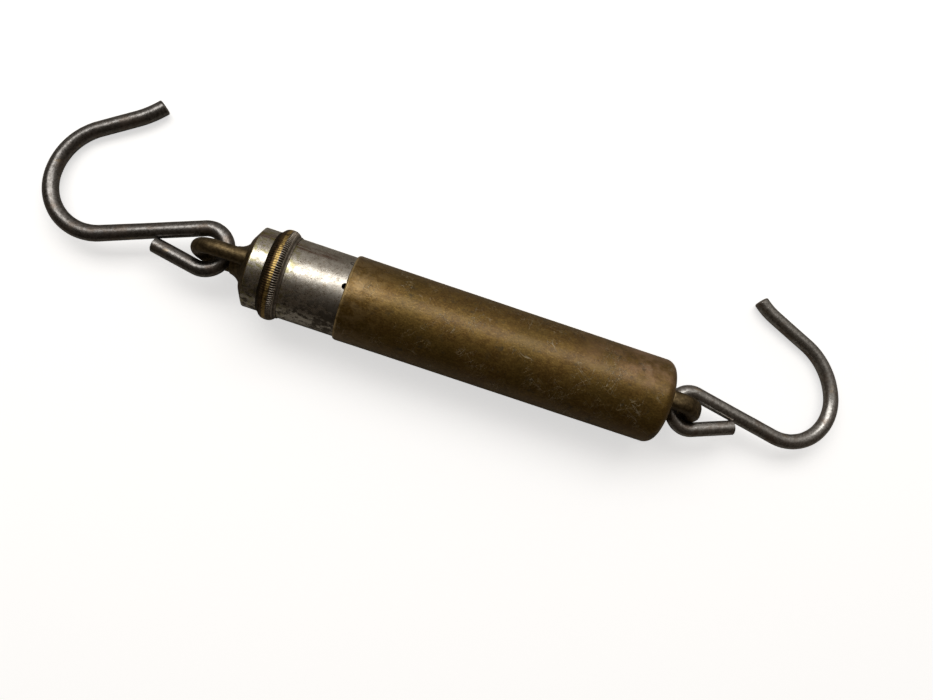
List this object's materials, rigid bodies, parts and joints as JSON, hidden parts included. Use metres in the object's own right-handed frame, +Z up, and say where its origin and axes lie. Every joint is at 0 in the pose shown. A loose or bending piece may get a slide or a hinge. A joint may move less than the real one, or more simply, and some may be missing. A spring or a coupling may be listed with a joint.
{
  "type": "hanging spring scale",
  "caption": "Tubular hanging spring scale: brass sleeve sliding on a nickel-plated tube against an inner spring, knurled zero ring, wire hook in an eye at each end.",
  "frame": {"origin": "middle of the bounding box's underside, on the surface the scale lies on", "axes": "+X runs along the tube from the hanging hook to the load hook, +Y is the side both hooks open towards, +Z is up"},
  "size_m": [0.2496, 0.0548, 0.0271],
  "materials": {
    "aged_brass": "patinated drawn tube, satin with fine scratches",
    "cast_brass": "aged casting, dark in the recesses",
    "worn_brass": "worn gold on the crest, grime in the knurl",
    "bare_brass": "turned, clean inside the tube",
    "nickel_plate": "worn nickel plate with stains",
    "dark_steel": "oxidised wire with rust tints and worn highlights",
    "spring_steel": "oiled spring wire"
  },
  "bodies": {
    "head": {"upper_eye_plug": "cast_brass", "cap_band": "nickel_plate", "ring_retainer": "spring_steel", "trim_key": "spring_steel", "upper_spring_plug": "bare_brass", "main_spring": "spring_steel"},
    "zero_ring_body": {"zero_ring": "worn_brass"},
    "inner_tube_body": {"inner_tube": "nickel_plate", "threaded_collar": "bare_brass", "inner_tube_foot": "bare_brass"},
    "outer_tube_body": {"outer_tube": "aged_brass", "guide_key": "bare_brass", "lower_eye_plug": "cast_brass", "drawbar": "spring_steel", "lower_plug_pin": "spring_steel", "lower_spring_plug": "bare_brass"},
    "upper_hook_body": {"upper_hook": "dark_steel"},
    "lower_hook_body": {"lower_hook": "dark_steel"}
  },
  "joints": [
    {"name": "load_slide", "type": "slide", "parent": "head", "child": "outer_tube_body", "axis": [1, 0, 0], "range_m": [0, 0.062], "stiffness_N_per_m": 824, "springref_m": -0.004, "deforming": ["main_spring"]},
    {"name": "zero_ring_turn", "type": "hinge", "parent": "head", "child": "zero_ring_body", "pos_m": [-0.048, -0.01388, 0.01354], "axis": [1, 0, 0], "range_deg": [-280, 280]},
    {"name": "zero_trim", "type": "slide", "parent": "head", "child": "inner_tube_body", "axis": [1, 0, 0], "range_m": [-0.00077, 0.00077]},
    {"name": "upper_hook_swing", "type": "hinge", "parent": "head", "child": "upper_hook_body", "pos_m": [-0.07115, -0.01338, 0.01109], "axis": [-0.1158, 0.1502, 0.9818], "range_deg": [-80, 80]},
    {"name": "lower_hook_swing", "type": "hinge", "parent": "outer_tube_body", "child": "lower_hook_body", "pos_m": [0.0791, -0.01358, 0.01119], "axis": [0.091, 0.1931, 0.9769], "range_deg": [-80, 80]}
  ],
  "couplings": [
    {"joint": "zero_ring_turn", "follows": "zero_trim", "rad_per_m": -6283.2}
  ]
}
